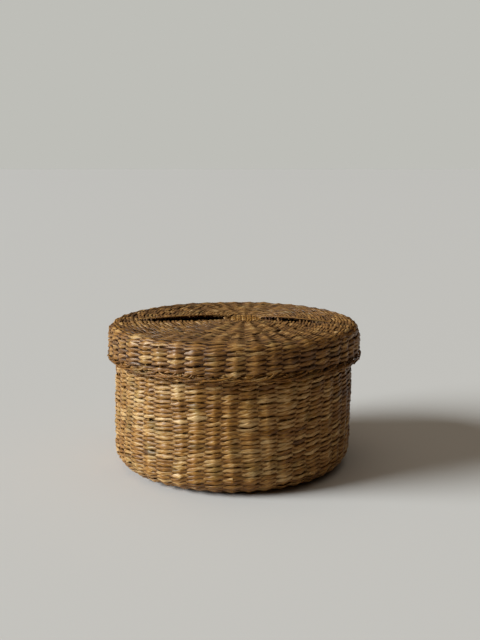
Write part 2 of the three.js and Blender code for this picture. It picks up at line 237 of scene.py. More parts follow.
class BASKET_PG_studio(bpy.types.PropertyGroup):
    """Floor and lights."""

    floor: colour("Floor", "Colour of the floor", (0.545, 0.475, 0.392))
    backdrop: colour("Backdrop", "Colour behind the floor", (0.515, 0.515, 0.48))
    window: number("Window light", "Strength of the light from the left", 7.9)
    daylight: colour("Daylight", "Colour of the light from the left", (0.71, 0.84, 1.0))
    softness: bpy.props.FloatProperty(name="Softness", description="Angle that the window light fills",
                                      default=math.radians(31), subtype="ANGLE")
    fill_near: colour("Near fill", "Light from the side of the window", (0.04, 0.032, 0.022))
    fill_far: colour("Far fill", "Light from the side away from the window", (0.0, 0.0, 0.0))
    fill_above: colour("Fill from above", "Light from straight above", (0.95, 0.92, 0.87))
    fill_focus: number("Fill focus", "Power by which the light from above narrows", 6.0)


# Small steps on arrays of points

def unit(vectors):
    """The same directions, each of length one."""
    return vectors / np.maximum(np.linalg.norm(vectors, axis=-1, keepdims=True), 1e-12)


def ease(value):
    """A smooth step from 0 to 1."""
    held = np.clip(value, 0, 1)
    return held * held * (3 - 2 * held)


def ramp(value, low, high):
    """A smooth step from 0 at the low value to 1 at the high one."""
    return ease((value - low) / (high - low))


def hump(value, low, high, power):
    """A rise from 0 at the low value and a fall to 0 at the high one."""
    return np.sin(math.pi * np.clip((value - low) / (high - low), 0, 1)) ** power


def eased(values, places):
    """Values that are set at whole numbers, eased from each to the next."""
    low = np.floor(places).astype(int)
    return values[low] + (values[low + 1] - values[low]) * ease(places - low)


def waves(table, theta, height):
    """The sum of a table of slow waves, at an angle and a height."""
    return sum(size * np.sin(turns * theta + height / pitch + start) for size, turns, pitch, start in table)


def smooth_path(points, samples):
    """A smooth curve through the points, with that many samples from each point to the next."""
    points = np.asarray(points, float)
    padded = np.vstack([2 * points[0] - points[1], points, 2 * points[-1] - points[-2]])
    found = []
    for i in range(1, len(points)):
        p0, p1, p2, p3 = padded[i - 1:i + 3]
        for t in np.arange(samples) / samples:
            found.append(0.5 * (2 * p1 + (p2 - p0) * t + (2 * p0 - 5 * p1 + 4 * p2 - p3) * t ** 2
                                + (3 * p1 - p0 - 3 * p2 + p3) * t ** 3))
    found.append(points[-1])
    return np.array(found)


# The two woven surfaces. Each gives the middle of the weave for a course number and an angle.

def drift(theta, height):
    """How far the stakes wander sideways up the wall, as an angle."""
    return STEP * waves(DRIFT, theta, height)


def basket_place(body):
    """Middle of the basket's weave: course 0 is next to the crossing, and the last one is at the rim."""
    flat = body.foot_radius - body.foot_rounding
    reach = body.foot_rounding - body.weave_depth
    climb = body.foot_rounding - body.base_middle
    turned = reach * math.pi / 2
    wall = body.height - body.rim_height - body.foot_rounding
    spare = 4
    courses = np.cumsum([0, body.base_courses, body.foot_courses, body.wall_courses, spare])
    way = np.cumsum([body.start_radius, flat - body.start_radius, turned, wall,
                     spare * wall / body.wall_courses])
    base_pitch = (way[1] - way[0]) / courses[1]
    held_below, free_above, free_below, held_above = 8 * MM, 20 * MM, 48 * MM, 64 * MM
    lean_from, lean_to, lean_lost = 10 * MM, 60 * MM, 0.6
    drift_full = 20 * MM

    def place(course, theta):
        distance = np.interp(course, courses, way)
        distance = np.where(course < 0, body.start_radius + course * base_pitch, distance)
        turn = np.clip((distance - flat) / reach, 0, math.pi / 2)
        up = np.maximum(distance - flat - turned, 0)
        height = body.base_middle + climb * (1 - np.cos(turn)) + up
        radius = np.minimum(distance, flat) + reach * np.sin(turn)
        radius = radius - body.taper * up / (body.height - body.foot_rounding)
        free = ramp(height, held_below, free_above) * (1 - ramp(height, free_below, held_above))
        radius = radius + free * (body.bulge + MM * waves(BULGES, theta, height))
        angle = theta + drift(theta, height) * ease(height / drift_full)
        height = height + MM * free * waves(SAGS, theta, height)
        lean = body.lean * (1 - lean_lost * ramp(height, lean_from, lean_to))
        return np.stack([radius * np.cos(angle) - lean, radius * np.sin(angle), height], axis=-1)

    return place


class Split:
    """A split in the lid's top, beside the crown, that follows the gap between two stakes."""

    # How far the worn top reaches past both ends of the split, and over what distance its sag and
    # its lip die out and one gives way to the other
    past_start, past_end = 0.2, 0.08
    sag_fades, lip_fades, lip_edge = 20 * MM, 9 * MM, 1.6 * MM

    def __init__(self, lid, gap, start, end, opening, sag, lip):
        angle = FRONT + gap * STEP
        self.crown = np.array([lid.crown_x, lid.crown_y])
        to_shoulder = lid.flat_radius * np.array([math.cos(angle), math.sin(angle)]) - self.crown
        self.reach = float(np.linalg.norm(to_shoulder))
        self.along = to_shoulder / self.reach
        side = np.array([-self.along[1], self.along[0]])
        self.behind = side if side[1] > 0 else -side
        self.start, self.end, self.opening, self.sag, self.lip = start, end, opening, sag, lip

    def measure(self, place):
        """How far out from the crown a place is, as a share, and how far behind the split."""
        offset = place[..., :2] - self.crown
        return offset @ self.along / self.reach, offset @ self.behind

    def relief(self, place):
        """How far the worn top stands above its flat level."""
        out, back = self.measure(place)
        worn = hump(out, self.start - self.past_start, self.end + self.past_end, 0.7)
        sunk = -self.sag * worn * np.exp(np.minimum(back, 0) / self.sag_fades)
        raised = self.lip * worn * np.exp(-np.maximum(back, 0) / self.lip_fades)
        return sunk + (raised - sunk) * ease(back / self.lip_edge + 0.5)

    def half_width(self, place):
        """Half of the opening's width at a place; it is zero past the split's ends."""
        out, _ = self.measure(place)
        return self.opening / 2 * hump(out, self.start, self.end, 0.5)


def lid_splits(lid):
    """The splits on the left and on the right of the crown."""
    wear = ((lid.sag_left, lid.lip_left), (lid.sag_right, lid.lip_right))
    return [Split(lid, *shape, *worn) for shape, worn in zip(SPLITS, wear)]


def lid_place(lid):
    """Middle of the lid's weave: course 0 is next to the crown, and the last one is at the edge."""
    splits = lid_splits(lid)
    side = lid.radius - lid.weave_depth - lid.flat_radius
    drop = lid.top_middle - lid.shoulder_height
    course_height = skirt_course(lid)
    drift_share = 0.6
    ripple, ripple_across, ripple_back = 0.3 * MM, 11 * MM, 14 * MM
    calm_edge = 1 / 8

    def place(course, theta):
        out = np.minimum(lid.start_share + (1 - lid.start_share) * course / lid.top_courses, 1)
        past = np.maximum(course - lid.top_courses, 0)
        turn = np.minimum(past / lid.shoulder_courses, 1) * math.pi / 2
        down = np.maximum(past - lid.shoulder_courses, 0) * course_height
        angle = theta + drift_share * drift(theta, down) * ease(out)
        radius = lid.flat_radius * out + side * np.sin(turn)
        x = lid.crown_x * (1 - out) + radius * np.cos(angle)
        y = lid.crown_y * (1 - out) + radius * np.sin(angle)
        found = np.stack([x, y, lid.shoulder_height + drop * np.cos(turn) - down], axis=-1)
        worn = sum(split.relief(found) for split in splits)
        worn = worn + ripple * np.sin(x / ripple_across + 1) * np.sin(y / ripple_back + 2)
        found[..., 2] += np.where(past > 0, 0, worn * ease((1 - out) / calm_edge))
        return found

    return place


class Weave:
    """A woven surface, and the way in which the pair of strands travels over it."""

    # Small steps in courses and in radians, to find out which way the surface faces
    course_nudge, angle_nudge = 0.05, 0.004

    def __init__(self, place, direction, paired_course):
        self.place = place
        self.direction = direction
        self.switch = 2 * round(paired_course * STAKE_ENDS / 2) - 0.5

    def phase(self, travel):
        """Number of half twists that the pair has made after passing that many stakes."""
        paired = np.minimum(travel, self.switch)
        return (paired + 0.5) / 2 - 0.5 + np.maximum(travel - self.switch, 0)

    def travel(self, phase):
        """Number of stakes that the pair has passed after that many half twists."""
        turn = self.phase(self.switch)
        return 2 * np.minimum(phase, turn) + 0.5 + np.maximum(phase - turn, 0)

    def course_phase(self, course):
        """Half twists at a course, to a whole number."""
        return int(round(float(self.phase(course * STAKE_ENDS))))

    def angle(self, stakes):
        """Angle after passing that many stakes."""
        return FRONT + self.direction * stakes * STEP

    def frames(self, course, theta):
        """Place, outward direction, direction across the courses and course height."""
        here = self.place(course, theta)
        above = self.place(course + self.course_nudge, theta)
        climb = (above - self.place(course - self.course_nudge, theta)) / (2 * self.course_nudge)
        beyond = self.place(course, theta + self.angle_nudge)
        ahead = (beyond - self.place(course, theta - self.angle_nudge)) * self.direction
        return here, unit(np.cross(ahead, climb)), unit(climb), np.linalg.norm(climb, axis=-1)


class Rails:
    """Centre lines of strands, with what the sweep needs to know at each of their points."""

    def __init__(self):
        self.names = ["place", "out", "across", "phase", "bulk", "swing", "tone", "along"]
        self.runs = []

    def add(self, place, out, across=None, phase=0.0, bulk=1.0, swing=1.0, tone=0.5, start=0.0):
        """Adds one strand, if it has enough points."""
        if len(place) < 3:
            return
        full = np.ones(len(place))
        steps = np.linalg.norm(np.diff(place, axis=0), axis=1)
        self.runs.append({
            "place": place, "out": np.broadcast_to(out, place.shape),
            "across": np.broadcast_to(out if across is None else across, place.shape),
            "phase": phase * full, "bulk": bulk * full, "swing": swing * full, "tone": tone * full,
            "along": start + np.concatenate([[0], np.cumsum(steps)])})

    def mesh(self, name):
        """The strands as edges, with their values as point attributes."""
        joined = {key: np.concatenate([run[key] for run in self.runs]) for key in self.names}
        ends = np.cumsum([len(run["place"]) for run in self.runs])
        starts = np.concatenate([[0], ends[:-1]])
        edges = np.concatenate([np.stack([np.arange(a, b - 1), np.arange(a + 1, b)], 1)
                                for a, b in zip(starts, ends)])
        mesh = bpy.data.meshes.new(name)
        mesh.vertices.add(len(joined["place"]))
        mesh.vertices.foreach_set("co", joined["place"].astype(np.float32).ravel())
        mesh.edges.add(len(edges))
        mesh.edges.foreach_set("vertices", edges.astype(np.int32).ravel())
        for key in self.names[1:]:
            values = joined[key].astype(np.float32)
            kind, field = (VECTOR, "vector") if values.ndim == 2 else ("FLOAT", "value")
            mesh.attributes.new(key, kind, "POINT").data.foreach_set(field, values.ravel())
        mesh.update()
        return mesh


def strand_tones(rng, number, low=0.25, high=0.85):
    """A tone for each stitch of a strand: it holds for a few stitches, until a new straw is laid in."""
    longest, middling, spread = 6, 2.4, 0.12
    tones = np.empty(number)
    i = 0
    while i < number:
        run = int(rng.integers(1, longest + 1))
        tones[i:i + run] = rng.beta(middling, middling) * (high - low) + low
        i += run
    return np.clip(tones + rng.normal(0, spread, number), 0, 1)


def twine(rails, weave, first, last, nominal, seed, bulk=1.0, relief=1.0, cut=None, swing=0.0, marks=()):
    """Adds the pair of strands from one half twist to another.

    nominal is the course height at which a strand has its plain width, and relief is the share
    of the full swing that these strands make. cut takes places, and gives the distance to the nearest
    broken edge and whether that edge is behind a split, where strands are lifted by the swing. marks
    are single stitches that stand out: where they are, how full they are and their tone.
    """
    whole = last - first + 3
    stops = weave.travel(np.arange(first, last + 1))
    middles = weave.place(stops / STAKE_ENDS, weave.angle(stops))
    shared = np.random.default_rng(seed).normal(0, PAIR_SPREAD, whole)
    for strand in (0, 1):
        rng = np.random.default_rng(seed * 10 + strand)
        wide = np.clip(rng.normal(1.0, WIDTH_SPREAD, whole), NARROWEST, WIDEST)
        up = rng.normal(0, HEIGHT_SPREAD, whole)
        slope = rng.normal(0, SLOPE_SPREAD, whole)
        forth = rng.normal(0, DEPTH_SPREAD, whole)
        roll = rng.normal(0, ROLL_SPREAD, whole)
        tones = strand_tones(rng, whole)
        phase = first + np.arange((last - first) * SAMPLES + 1) / SAMPLES
        travel = weave.travel(phase)
        place, out, across, pitch = weave.frames(travel / STAKE_ENDS, weave.angle(travel))
        for spot, fullness, tone in marks:
            away = np.linalg.norm(middles - np.array(spot), axis=1)
            nearest = int(np.argmin(away))
            if away[nearest] < MARK_REACH and (nearest + first + strand) % 2 == 0:
                wide[nearest] = fullness
                tones[nearest] = tone
                forth[nearest] = MARK_DEPTH
                up[nearest] = MARK_HEIGHT
        held = phase - first
        middle = np.round(held).astype(int)
        aside = held - middle
        fullness = (1 + (eased(wide, held) - 1) * np.cos(math.pi * held) ** 2) * pitch / nominal * bulk
        between = np.linalg.norm(np.gradient(place, axis=0), axis=1) * SAMPLES
        depth = relief * np.clip(between / FULL_GAP, LEAST_SWING, 1)
        up_now = eased(up + shared, held) + slope[middle] * aside * (1 - 4 * aside ** 2)
        place = place + across * (up_now * pitch)[:, None] + out * (eased(forth, held) * MM)[:, None]
        out = unit(out + across * eased(roll, held)[:, None])
        tone = tones[middle]
        turned = phase + strand
        if cut is None:
            rails.add(place, out, across, turned, fullness, depth, tone)
            continue
        reach, behind = cut(place, rng)
        lifted = swing * depth * (1 - np.cos(math.pi * turned)) * ease(1 - reach / LOOSE_NEAR)
        place = place + out * np.where(behind, lifted, 0)[:, None]
        fullness = fullness * (1 - THINNED * ease(1 - reach / THIN_NEAR))
        kept = reach > 0
        edges = np.flatnonzero(np.diff(np.concatenate([[0], kept.astype(int), [0]])))
        for a, b in zip(edges[::2], edges[1::2]):
            rails.add(place[a:b], out[a:b], across[a:b], turned[a:b], fullness[a:b], depth[a:b], tone[a:b],
                      start=a * POINT_STEP)


# Node trees

class Value:
    """What a node puts out. Arithmetic on it adds nodes to the tree."""

    def __init__(self, nodes, socket):
        self.nodes = nodes
        self.socket = socket

    def __add__(self, other):
        return self.nodes.math("ADD", self, other)

    def __sub__(self, other):
        return self.nodes.math("SUBTRACT", self, other)

    def __rsub__(self, other):
        return self.nodes.math("SUBTRACT", other, self)

    def __mul__(self, other):
        return self.nodes.math("MULTIPLY", self, other)

    def __pow__(self, other):
        return self.nodes.math("POWER", self, other)

    def __abs__(self):
        return self.nodes.math("ABSOLUTE", self)


class Nodes:
    """Adds nodes to a tree and links them."""

    def __init__(self, tree):
        tree.nodes.clear()
        self.tree = tree

    def add(self, kind, inputs=None, output=0, **settings):
        """Adds a node with its settings and inputs, and gives one of its outputs."""
        node = self.tree.nodes.new(kind)
        for key, value in settings.items():
            setattr(node, key, value)
        for key, value in (inputs or {}).items():
            if isinstance(value, Value):
                self.tree.links.new(value.socket, node.inputs[key])
            else:
                node.inputs[key].default_value = value
        return Value(self, node.outputs[output]) if node.outputs else None

    def math(self, operation, *values):
        return self.add("ShaderNodeMath", dict(enumerate(values)), operation=operation)

    def vector(self, operation, *values):
        return self.add("ShaderNodeVectorMath", dict(enumerate(values)), "Vector", operation=operation)

    def scaled(self, vector, scale):
        return self.add("ShaderNodeVectorMath", {0: vector, "Scale": scale}, "Vector", operation="SCALE")

    def field(self, name, kind="FLOAT"):
        return self.add("GeometryNodeInputNamedAttribute", {"Name": name}, "Attribute", data_type=kind)

    def store(self, geometry, name, value, kind="FLOAT"):
        given = {"Geometry": geometry, "Name": name, "Value": value}
        return self.add("GeometryNodeStoreNamedAttribute", given, "Geometry", data_type=kind, domain="POINT")

    def mixed(self, base, tint, amount, blend="MIX"):
        return self.add("ShaderNodeMix", {"Factor": amount, "A": base, "B": tint}, "Result",
                        data_type="RGBA", blend_type=blend)


STRAND_INPUTS = {
    "Rails": "Geometry", "Swing": "Float", "Ridge": "Float", "Lift": "Float", "Rise": "Float",
    "Width": "Float", "Point": "Float", "Thickness": "Float", "Waist": "Float", "Crease": "Float",
    "Sides": "Int", "Straw": "Material"}


def strand_tree():
    """Sweeps a creased flat strand along each rail, and twists the two strands of a pair together."""
    found = bpy.data.node_groups.get("Twined strands")
    if found:
        return found
    tree = bpy.data.node_groups.new("Twined strands", "GeometryNodeTree")
    for name, kind in STRAND_INPUTS.items():
        tree.interface.new_socket(name, in_out="INPUT", socket_type="NodeSocket" + kind)
    tree.interface.new_socket("Strands", in_out="OUTPUT", socket_type="NodeSocketGeometry")
    n = Nodes(tree)
    source = tree.nodes.new("NodeGroupInput")
    sizes = {socket.name: Value(n, socket) for socket in source.outputs}

    # The way of each strand: in and out round the stakes, and up and down round its partner
    phase, bulk, out = n.field("phase"), n.field("bulk"), n.field("out", VECTOR)
    turn = phase * math.pi
    wave = n.math("COSINE", turn)
    near = abs(wave)
    straight = 1.0 - n.math("PINGPONG", phase, 1.0) * 2.0
    bent = wave + sizes["Ridge"] * (straight - wave)
    swing = sizes["Swing"] * n.field("swing") * bent + sizes["Lift"] * (1.0 - near)
    rise = sizes["Rise"] * bulk * n.math("SINE", turn)
    shift = n.vector("ADD", n.scaled(out, swing), n.scaled(n.field("across", VECTOR), rise))
    curves = n.add("GeometryNodeMeshToCurve", {"Mesh": sizes["Rails"]})
    curves = n.add("GeometryNodeSetPosition", {"Geometry": curves, "Offset": shift})

    # Its section is full and round over a stake, and slim, with thin edges, where the pair crosses
    round_edge, thin_edge, crossing_depth = 0.85, 3.3, 0.72
    heading = n.add("GeometryNodeInputTangent")
    side = n.vector("NORMALIZE", n.vector("CROSS_PRODUCT", out, heading))
    lift = n.vector("NORMALIZE", n.vector("CROSS_PRODUCT", heading, side))
    seen = near ** sizes["Point"]
    full = sizes["Waist"] + seen * (1.0 - sizes["Waist"])
    wide = sizes["Width"] * 0.5 * (bulk * full)
    depth = seen * (1.0 - crossing_depth) + crossing_depth
    deep = sizes["Thickness"] * 0.5 * (n.math("SQRT", bulk) * depth)
    sharp = thin_edge - seen * (thin_edge - round_edge)
    centre = n.add("GeometryNodeInputPosition")
    for name, value in (("centre", centre), ("side", side), ("lift", lift)):
        curves = n.store(curves, name, value, VECTOR)
    for name, value in (("wide", wide), ("deep", deep), ("sharp", sharp)):
        curves = n.store(curves, name, value)

    section = n.add("GeometryNodeCurvePrimitiveCircle", {"Resolution": sizes["Sides"], "Radius": 0.001})
    angle = n.add("GeometryNodeSplineParameter", output="Factor") * (2 * math.pi)
    ring = n.add("ShaderNodeCombineXYZ", {"X": n.math("COSINE", angle), "Y": n.math("SINE", angle)})
    section = n.store(section, "ring", ring, VECTOR)
    swept = n.add("GeometryNodeCurveToMesh", {"Curve": curves, "Profile Curve": section, "Fill Caps": True})

    # The crease wanders from side to side along the strand
    crease_turns, crease_wander, crease_power, flatness = 620.0, 0.75, 6.0, 0.7
    ring = n.field("ring", VECTOR)
    x, y = (n.add("ShaderNodeSeparateXYZ", {"Vector": ring}, axis) for axis in "XY")
    wander = n.math("SINE", n.field("along") * crease_turns) * crease_wander
    facing = y * n.math("COSINE", wander) + x * n.math("SINE", wander)
    groove = sizes["Crease"] * abs(facing) ** crease_power
    height = n.math("SIGN", y) * (abs(y) ** flatness * (1.0 - groove))
    reach = n.math("SIGN", x) * abs(x) ** n.field("sharp")
    where = n.vector("ADD", n.scaled(n.field("side", VECTOR), reach * n.field("wide")),
                     n.scaled(n.field("lift", VECTOR), height * n.field("deep")))
    where = n.vector("ADD", n.field("centre", VECTOR), where)
    shaped = n.add("GeometryNodeSetPosition", {"Geometry": swept, "Position": where})
    smooth = n.add("GeometryNodeSetShadeSmooth", {"Geometry": shaped, "Shade Smooth": True})
    real = n.add("GeometryNodeRealizeInstances", {"Geometry": smooth})
    dressed = n.add("GeometryNodeSetMaterial", {"Geometry": real, "Material": sizes["Straw"]})
    n.add("NodeGroupOutput", {"Strands": dressed})
    return tree


def straw_material(name):
    """Dry straw: fibres along the strand, tones that change from strand to strand, and painted shade on the
    parts that turn behind the partner strand and on the thin edges.
    """
    found = bpy.data.materials.get(name)
    if found:
        return found
    shift, gap_shade, gloss, faded = FINISHES[name]
    straw = bpy.context.scene.basket_straw
    material = bpy.data.materials.new(name)
    material.use_nodes = True
    n = Nodes(material.node_tree)

    def given(key, output="Fac"):
        return n.add("ShaderNodeAttribute", output=output, attribute_type="GEOMETRY", attribute_name=key)

    def noise(vector, scale, detail, roughness):
        return n.add("ShaderNodeTexNoise", {
            "Vector": vector, "Scale": scale, "Detail": detail, "Roughness": roughness}, "Fac")

    def between(value, low, high, top, bottom=0.0):
        return n.add("ShaderNodeMapRange", {
            "Value": value, "From Min": low, "From Max": high, "To Min": bottom, "To Max": top})

    tone, along, ring = given("tone"), given("along"), given("ring", "Vector")
    x, y = (n.add("ShaderNodeSeparateXYZ", {"Vector": ring}, axis) for axis in "XY")

    def fibres(lengthwise, sideways, detail):
        start = along * lengthwise + tone * FIBRE_SHIFT
        spot = n.add("ShaderNodeCombineXYZ", {"X": start, "Y": x * sideways, "Z": y * sideways})
        return noise(spot, 1.0, detail, 0.6)

    coarse = fibres(*COARSE_FIBRES)
    fine = fibres(*FINE_FIBRES)
    place = n.add("ShaderNodeTexCoord", output="Object")
    patches = noise(place, PATCH_SCALE, 2.0, 0.5)
    tints = noise(place, TINT_SCALE, 1.0, 0.5)

    level = tone + shift + (patches - 0.5) * 0.9 + (coarse - 0.5) * 2.0
    shade = n.add("ShaderNodeValToRGB", {"Fac": level}, "Color")
    ramp_points = shade.socket.node.color_ramp.elements
    stops = [(0.0, straw.dark), (0.3, straw.brown), (0.62, straw.honey), (1.0, straw.pale)]
    while len(ramp_points) < len(stops):
        ramp_points.new(0.5)
    for element, (position, tint) in zip(ramp_points, stops):
        element.position = position
        element.color = (*tint, 1)

    shade = n.mixed(shade, (*straw.russet, 1), between(tints, 0.55, 0.8, 0.4))
    shade = n.mixed(shade, (*straw.moss, 1), between(tints, 0.42, 0.25, 0.4))
    streaks = 1.0 - between(fine, 0.35, 0.7, 1.0)
    shade = n.mixed(shade, (*straw.streak, 1), streaks * 0.8, "MULTIPLY")
    shade = n.mixed(shade, (*straw.dust, 1), faded)
    depth = n.math("COSINE", given("phase") * math.pi)
    # Painted shade: the straw is darkened where a strand turns behind its partner and on its thin edges,
    # where the real weave lies in shadow, and it is made rougher there so that it shines less
    hidden_shade = between(depth * y, 0.1, -0.3, 0.9)
    sides = between(abs(x), 0.62, 0.88, 1.0) * (1.0 - abs(depth) * 0.8)
    painted_shade = n.math("MAXIMUM", hidden_shade, sides)
    shade = n.mixed(shade, (*straw.painted_shade, 1), painted_shade * gap_shade, "MULTIPLY")

    bumps = coarse * 0.6 + fine * 0.5
    bump = n.add("ShaderNodeBump", {"Height": bumps, "Strength": 0.9, "Distance": 0.14 * MM})
    rough = n.math("MAXIMUM", between(fine, 0.0, 1.0, 0.34, 0.48), painted_shade)
    shader = n.add("ShaderNodeBsdfPrincipled", {
        "Base Color": shade, "Roughness": rough, "Normal": bump, "Specular IOR Level": gloss,
        "Specular Tint": (1.0, 0.88, 0.7, 1)})
    n.add("ShaderNodeOutputMaterial", {"Surface": shader})
    return material


def sweep(rails, name, body, nodes, values, finish):
    """Turns rails into one plain mesh of strands that rides on a body and stands for CAD nodes."""
    scene = bpy.context.scene
    holder = bpy.data.objects.new(name + "_rails", rails.mesh(name + "_rails"))
    scene.collection.objects.link(holder)
    tree = strand_tree()
    modifier = holder.modifiers.new("Strands", "NODES")
    modifier.node_group = tree
    strands = scene.basket_strands
    values = {"Straw": straw_material(finish), "Sides": SIDES, "Crease": strands.crease,
              "Ridge": strands.ridge, "Lift": 0.0, "Point": strands.point, **values}
    for item in tree.interface.items_tree:
        if item.in_out == "INPUT" and item.name in values:
            modifier[item.identifier] = values[item.name]
    bpy.context.view_layer.update()
    graph = bpy.context.evaluated_depsgraph_get()
    mesh = bpy.data.meshes.new_from_object(
        holder.evaluated_get(graph), preserve_all_data_layers=True, depsgraph=graph)
    mesh.name = name
    for key in ("centre", "side", "lift", "wide", "deep", "sharp", "out", "across", "bulk", "swing"):
        attribute = mesh.attributes.get(key)
        if attribute:
            mesh.attributes.remove(attribute)
    bpy.data.objects.remove(holder, do_unlink=True)
    if not mesh.polygons:
        raise RuntimeError(f"{name} has no faces")
    if enclosed(mesh) < 0:
        mesh.flip_normals()
    piece = bpy.data.objects.new(name, mesh)
    scene.collection.objects.link(piece)
    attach(piece, body)
    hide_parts(*nodes)
    return piece


def enclosed(mesh):
    """Volume inside a mesh, which is negative if its faces point inwards."""
    mesh.calc_loop_triangles()
    corners = np.empty(len(mesh.loop_triangles) * 3, np.int32)
    mesh.loop_triangles.foreach_get("vertices", corners)
    points = np.empty(len(mesh.vertices) * 3, np.float32)
    mesh.vertices.foreach_get("co", points)
    a, b, c = points.reshape(-1, 3)[corners.reshape(-1, 3)].transpose(1, 0, 2)
    return float(np.einsum("ij,ij->i", a, np.cross(b, c)).sum()) / 6


def basket_weave(body):
    """The basket's surface and how its strands travel over it."""
    paired = body.base_courses * (body.paired_radius - body.start_radius) / (
        body.foot_radius - body.foot_rounding - body.start_radius)
    return Weave(basket_place(body), 1, paired)


def lid_paired(lid):
    """The last of the lid's courses that takes its stakes in pairs."""
    return lid.top_courses * (lid.paired_share - lid.start_share) / (1 - lid.start_share)


def lid_weave(lid):
    """The lid's surface and how its strands travel over it."""
    return Weave(lid_place(lid), -1, lid_paired(lid))


def wall_top(body):
    """The basket's last course, at the rim."""
    return body.base_courses + body.foot_courses + body.wall_courses


def lid_bottom(lid):
    """The lid's last course, at its edge."""
    return lid.top_courses + lid.shoulder_courses + lid.skirt_courses


def wall_course(body):
    """Height of one course of the wall."""
    return (body.height - body.rim_height - body.foot_rounding) / body.wall_courses


def skirt_course(lid):
    """Height of one course of the lid's skirt."""
    return (lid.shoulder_height - lid.skirt_bottom) / lid.skirt_courses


def stitch_values(strands, course, swing, waist=None):
    """Sizes of the stitches of a twined piece."""
    return {"Swing": swing, "Rise": strands.rise, "Width": strands.width * course,
            "Waist": waist or strands.waist, "Thickness": strands.thickness, "Lift": strands.crossing_lift}


def twined_piece(name, body, node, weave, course, swing, finish, runs, waist=None):
    """Twines runs from one course to another, each with its own seed, into one piece."""
    strands = bpy.context.scene.basket_strands
    rails = Rails()
    for first, last, seed, settings in runs:
        twine(rails, weave, weave.course_phase(first), weave.course_phase(last), course, seed, **settings)
    sweep(rails, name, body, [node], stitch_values(strands, course, swing, waist), finish)


def stake_piece(rails, name, body, strands):
    """Makes one piece of a body's stakes."""
    nodes = [f"{body}_stake_{number:02d}" for number in range(1, 2 * STAKES_EACH_WAY + 1)]
    values = {"Swing": 0.0, "Rise": 0.0, "Width": strands.stake_width, "Waist": 1.0,
              "Thickness": strands.stake_thickness}
    sweep(rails, name, body, nodes, values, "straw_stake")


class PieceOperator(bpy.types.Operator):
    """An operator that makes one piece of the basket."""

    bl_options = {"REGISTER", "UNDO"}

    def execute(self, context):
        self.make(context.scene)
        return {"FINISHED"}


class BASKET_OT_base(PieceOperator):
    """Twine the flat of the base."""

    bl_idname = "basket.twine_base"
    bl_label = "Twine Base"

    def make(self, scene):
        body, strands = scene.basket_body, scene.basket_strands
        twined_piece("basket_base_twining", "basket", "basket_base_weave", basket_weave(body),
                     wall_course(body), strands.base_swing, "straw_woven",
                     [(0, body.base_courses, 11, {})], strands.long_waist)


class BASKET_OT_foot(PieceOperator):
    """Twine the turn from the base up into the wall."""

    bl_idname = "basket.twine_foot"
    bl_label = "Twine Foot"

    def make(self, scene):
        body = scene.basket_body
        run = (body.base_courses, body.base_courses + body.foot_courses, 12, {"bulk": 1.12})
        twined_piece("basket_foot_twining", "basket", "basket_foot_weave", basket_weave(body),
                     wall_course(body), scene.basket_strands.wall_swing, "straw_woven", [run])


class BASKET_OT_wall(PieceOperator):
    """Twine the wall, in a lower and an upper part."""

    bl_idname = "basket.twine_wall"
    bl_label = "Twine Wall"

    def make(self, scene):
        body = scene.basket_body
        bottom = body.base_courses + body.foot_courses
        lower_share, pale_degrees, pale_height, pale_fullness, pale_tone = 0.6, 16, 45.5 * MM, 1.5, 1.15
        middle = bottom + round(body.wall_courses * lower_share)
        top = bottom + body.wall_courses
        angle = FRONT - math.radians(pale_degrees)
        pale_stitch = (body.foot_radius * math.cos(angle), body.foot_radius * math.sin(angle), pale_height)
        marks = [(pale_stitch, pale_fullness, pale_tone)]
        for name, first, last, seed in (("lower", bottom, middle, 13), ("upper", middle, top, 14)):
            twined_piece(f"basket_wall_{name}_twining", "basket", "basket_wall_weave", basket_weave(body),
                         wall_course(body), scene.basket_strands.wall_swing, "straw_woven",
                         [(first, last, seed, {"marks": marks})])


def border_rows(rails, weave, courses, seed, nominal, stitches, swing, low, high):
    """Rows of finer twining round a border, each row a pair of strands."""
    wander_spread, depth_spread, bulk_spread, slimmest, fullest = 0.16, 0.15, 0.2, 0.55, 1.4
    for row, course in enumerate(courses):
        for strand in (0, 1):
            rng = np.random.default_rng(seed * 100 + row * 10 + strand)
            phase = np.arange(stitches * BORDER_SAMPLES + 1) / BORDER_SAMPLES
            whole = stitches + 3
            theta = FRONT + weave.direction * phase / stitches * 2 * math.pi
            here, out, across, _ = weave.frames(course + 0 * phase, theta)
            wander = eased(rng.normal(0, wander_spread, whole), phase)
            here = here + across * (wander * nominal)[:, None]
            here = here + out * (eased(rng.normal(0, depth_spread, whole), phase) * MM)[:, None]
            bulk = eased(np.clip(rng.normal(1, bulk_spread, whole), slimmest, fullest), phase)
            tones = strand_tones(rng, whole, low, high)
            rails.add(here, out, across, phase + strand, bulk, swing, tones[np.round(phase).astype(int)])


def tuck(rails, weave, steps, course, theta, bulks, tone, start=0.0):
    """Adds one short end. steps has its height over the weave, in millimetres, in its last column."""
    here, out, across, _ = weave.frames(course, theta)
    here = here + out * (steps[:, 2] * MM)[:, None]
    rails.add(here, out, across, 0.0, np.linspace(*bulks, len(here)), 1.0, tone, start=start)


